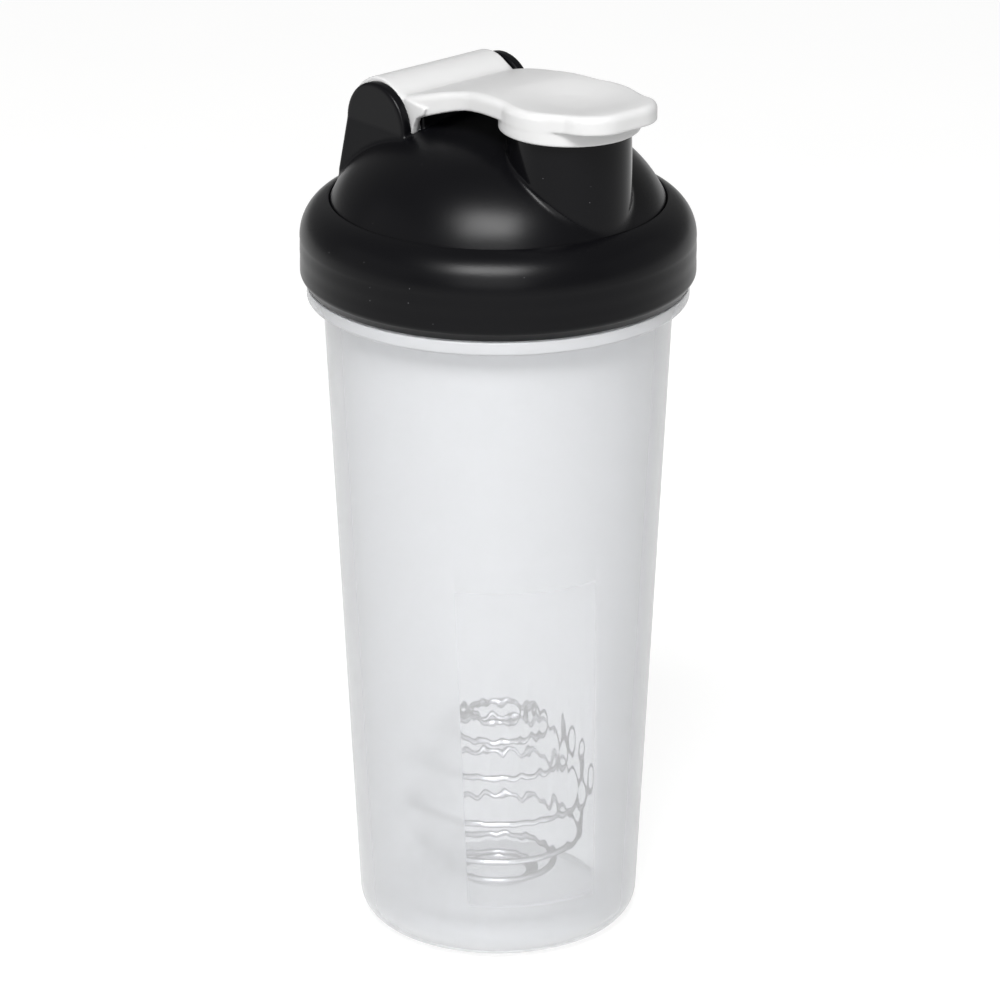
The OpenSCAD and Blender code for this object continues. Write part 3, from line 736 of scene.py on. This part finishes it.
def makeFlipCap():
    wall, barrelHalf, endWall = cap["wall"], hinge["barrelHalf"], cap["endWall"]
    sphereR = (cap["dishR"] ** 2 + cap["dishDepth"] ** 2) / (2 * cap["dishDepth"])
    backY = hinge["y"] - hinge["barrelR"] / 2
    prongY = hinge["y"] - hinge["barrelR"] + 0.7
    prong = outlineField([(prongY, hinge["z"] - 1.8), (prongY - 2.2, hinge["z"] - 1.8),
                          (prongY - 2.9, hinge["z"] + 0.7), (prongY - 4, hinge["z"] + 2.8),
                          (prongY - 6.5, hinge["z"] + 4.2), (prongY - 7.2, cap["valleyZ"] - 1.4),
                          (prongY, cap["valleyZ"] - 0.4)])
    plan = outlineField(capOutline(backY))

    def field(x, y, z):
        around, beside = np.hypot(x, y - spout["y"]), plan(x, y)
        top = capTop(y)
        body = keep(beside, z - top, cap["topRound"])
        under = np.maximum(beside + wall, z - top + wall)
        seat = np.maximum(around - cap["skirtR"] + wall, z - cap["seatZ"])
        body = np.maximum(body, -np.minimum(under, seat))
        body = keep(body, capLow(y) - z, 0.5)
        body = np.maximum(body, hinge["barrelR"] - wall - np.hypot(y - hinge["y"], z - hinge["z"]))
        cover = z - top
        skirt = keep(np.abs(around - cap["skirtR"] + wall / 4) - wall / 4, cap["skirtLowZ"] - z, 0.35)
        body = join(body, np.maximum(skirt, cover + 1.5), 0.3)
        boss = np.maximum(around - cap["bossR"], np.maximum(cap["bossLowZ"] - z, cover + 0.5))
        plate = np.maximum(around - cap["skirtR"] + 0.6, np.maximum(cap["seatZ"] - z, cover + 1.0))
        body = np.minimum(body, np.minimum(boss, plate))
        barrel = rod(x, y, z, hinge["at"], hinge["barrelR"], barrelHalf, 0.7)
        slot = np.maximum(z - hinge["z"] + 2, np.abs(x) - barrelHalf + endWall)
        barrel = np.maximum(barrel, -slot)
        body = join(body, barrel, 1.2)
        ends = np.abs(np.abs(x) - barrelHalf + endWall / 2) - endWall / 2
        body = join(body, keep(prong(y, z), ends, 0.4), 0.4)
        pinHalf = barrelHalf + hinge["earGap"] + cap["pinOut"]
        body = np.minimum(body, rod(x, y, z, hinge["at"], hinge["pinR"], pinHalf))
        body = np.maximum(body, -rod(x, y, z, hinge["at"], hinge["barrelR"] - wall, barrelHalf - endWall, 0))
        dish = np.sqrt(around ** 2 + (z - cap["plateZ"] - sphereR + cap["dishDepth"]) ** 2) - sphereR
        body = keep(body, -dish, 1.0)
        return np.maximum(body, -post(x, y, z, spout["y"], cap["bossR"] - wall, cap["bossLowZ"] - 1,
                                      cap["bossLowZ"] + 1.4))

    points, faces = fieldMesh(field, (-21.5, cap["tipY"] - 1, hinge["z"] - 6), (21.5, hinge["y"] + 11.5,
                              cap["plateZ"] + 2.4), cap["cell"])
    piece = newPiece("flipCap", points, faces, [whitePolypropylene], 0)
    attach(piece, "flip_cap")
    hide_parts("flip_cap")


makeFlipCap()
print("flip cap is made")


# seals: the flat ring under the lid and the ring that plugs the spout

def makeSeals():
    outR, inR = lidSize["boreR"] - 0.35, lidSize["plugR"] + 0.3
    low, high = base["cupH"], lidSize["landZ"]
    profile = [(inR, low + 0.3), (inR + 0.3, low), (outR - 0.3, low), (outR, low + 0.3),
               (outR, high - 0.3), (outR - 0.3, high), (inR + 0.3, high), (inR, high - 0.3)]
    points, faces = turned(profile, evenAngles(240), closed=True)
    piece = newPiece("lidSeal", points, faces, [siliconeRubber])
    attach(piece, "lid_seal")
    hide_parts("lid_seal")

    r, low, top, seat = spout["r"] - spout["wall"] - 0.12, cap["bossLowZ"] - 0.4, spout["top"], cap["seatZ"]
    inner = cap["bossR"]
    profile = [(inner, low + 0.4), (inner + 0.2, low + 0.1), (inner + 0.6, low), (r - 1.65, low),
               (r - 1.35, low + 0.15), (r - 1.25, low + 0.5), (r - 0.75, low + 1.5), (r, top - 0.6),
               (r - 0.1, top - 0.2), (r - 0.4, seat), (inner, seat)]
    points, faces = turned(profile, evenAngles(160), closed=True)
    points = np.array(points) + (0, spout["y"], 0)
    piece = newPiece("spoutStopper", points, faces, [siliconeRubber])
    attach(piece, "flip_cap")
    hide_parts("spout_stopper")


makeSeals()
print("seals are made")


# whisk ball: one wire bent into flat rings joined by short jogs

ball = {"r": 23.7, "wire": 1.6, "angles": [20, 24, 38, 64, 93, 122, 146, 162, 165], "jogShare": 0.3,
        "jogEnd": 168, "stepsPerTurn": 120, "sides": 14}
ball["z"] = cup["floorZ"] + 0.3 + ball["r"]


def wirePoint(turn):
    coil = ball["r"] - ball["wire"] / 2
    i = min(int(turn), len(ball["angles"]) - 2)
    jog = float(smooth((turn - i - 1 + ball["jogShare"]) / ball["jogShare"]))
    polar = radians(mix(ball["angles"][i], ball["angles"][i + 1], jog))
    a = 2 * pi * turn + radians(ball["jogEnd"])
    return np.array([coil * sin(polar) * cos(a), coil * sin(polar) * sin(a), -coil * cos(polar)])


def makeWhiskBall():
    turns = len(ball["angles"]) - 1
    rows = []
    for i in range(turns * ball["stepsPerTurn"] + 1):
        u = i / ball["stepsPerTurn"]
        centre = wirePoint(u)
        ahead = wirePoint(min(u + 0.01, turns)) - wirePoint(max(u - 0.01, 0))
        ahead /= np.linalg.norm(ahead)
        out = centre / np.linalg.norm(centre)
        side = np.cross(ahead, out)
        side /= np.linalg.norm(side)
        turn = np.arange(ball["sides"]) * 2 * pi / ball["sides"]
        ring = centre + ball["wire"] / 2 * (np.outer(np.cos(turn), out) + np.outer(np.sin(turn), side))
        rows.append(ring + (0, 0, ball["z"]))
    points, faces = swept(rows)
    piece = newPiece("whiskBall", points, faces, [stainlessWire])
    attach(piece, "whisk_ball")
    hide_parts("whisk_ball")


makeWhiskBall()
print("whisk ball is made")
